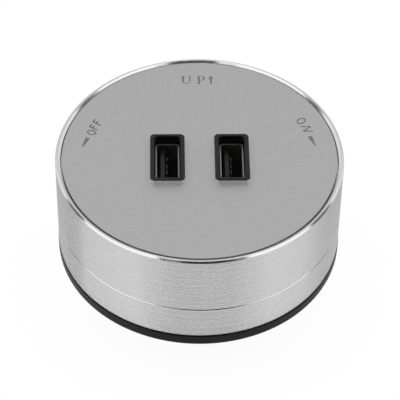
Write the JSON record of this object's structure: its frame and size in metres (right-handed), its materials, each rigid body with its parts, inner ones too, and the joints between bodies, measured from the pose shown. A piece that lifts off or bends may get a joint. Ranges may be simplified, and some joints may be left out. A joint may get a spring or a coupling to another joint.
{
  "type": "socket module",
  "caption": "Round turned aluminium adapter with USB sockets in its blasted face and, under a black base, a key that turns to lock in a power track.",
  "frame": {"origin": "centre of the rubber pad's face that seats on the track, on the axis that the head turns about", "axes": "+Z out of the face plate, +Y the way its UP arrow points, +X towards its ON mark"},
  "size_m": [0.0702, 0.0702, 0.0482],
  "materials": {
    "turned_aluminium": "fine turned, satin anodised",
    "lower_aluminium": "fine turned, satin anodised",
    "blasted_aluminium": "fine blasted, anodised",
    "stud_aluminium": "turned",
    "moulded_nylon": "moulded",
    "zinc_screw": "zinc plated",
    "base_plastic": "black, moulded",
    "pad_rubber": "moulded rubber",
    "bearing_plastic": "moulded",
    "washer_plastic": "white, waxy",
    "bearing_steel": "polished",
    "spring_steel": "drawn wire",
    "key_plastic": "black, glass filled",
    "track_bronze": "rolled bronze strip",
    "bright_trim": "bright plated",
    "insert_plastic": "black, moulded",
    "shell_steel": "nickel plated",
    "tongue_plastic": "black, moulded",
    "pin_gold": "gold plated",
    "board_laminate": "green solder mask",
    "ferrite": "sintered",
    "bobbin_plastic": "moulded",
    "winding_tape": "polyester tape",
    "bulk_sleeve": "shrunk sleeve",
    "output_can": "drawn can",
    "disc_ceramic": "blue epoxy dip",
    "choke_tube": "shrunk tube",
    "fuse_plastic": "brown moulded",
    "chip_epoxy": "moulded epoxy"
  },
  "bodies": {
    "base": {"lower_ring": "lower_aluminium", "base_shell": "base_plastic", "friction_pad": "pad_rubber", "bearing_plate": "bearing_plastic", "base_screws": "zinc_screw", "thrust_washer": "washer_plastic", "detent_balls": "bearing_steel", "detent_springs": "spring_steel"},
    "head": {"upper_ring": "turned_aluminium", "face_plate": "blasted_aluminium", "plate_studs": "stud_aluminium", "rotor": "moulded_nylon", "head_screws": "zinc_screw", "key_body": "key_plastic", "key_screws": "zinc_screw", "key_cap": "key_plastic", "cap_screws": "zinc_screw", "line_contact": "track_bronze", "neutral_contact": "track_bronze", "socket_trim_left": "bright_trim", "socket_trim_right": "bright_trim", "socket_insert_left": "insert_plastic", "socket_insert_right": "insert_plastic", "usb_shell_left": "shell_steel", "usb_shell_right": "shell_steel", "usb_insulator_left": "tongue_plastic", "usb_insulator_right": "tongue_plastic", "usb_contacts_left": "pin_gold", "usb_contacts_right": "pin_gold", "power_board": "board_laminate", "transformer_core": "ferrite", "transformer_bobbin": "bobbin_plastic", "transformer_winding": "winding_tape", "bulk_capacitor": "bulk_sleeve", "output_capacitors": "output_can", "safety_capacitor": "disc_ceramic", "choke": "choke_tube", "fuse": "fuse_plastic", "bridge_rectifier": "chip_epoxy", "control_chips": "chip_epoxy"}
  },
  "joints": [
    {"name": "head_turn", "type": "hinge", "parent": "base", "child": "head", "pos_m": [0, 0, 0], "axis": [0, 0, 1], "range_deg": [-90, 0]}
  ]
}
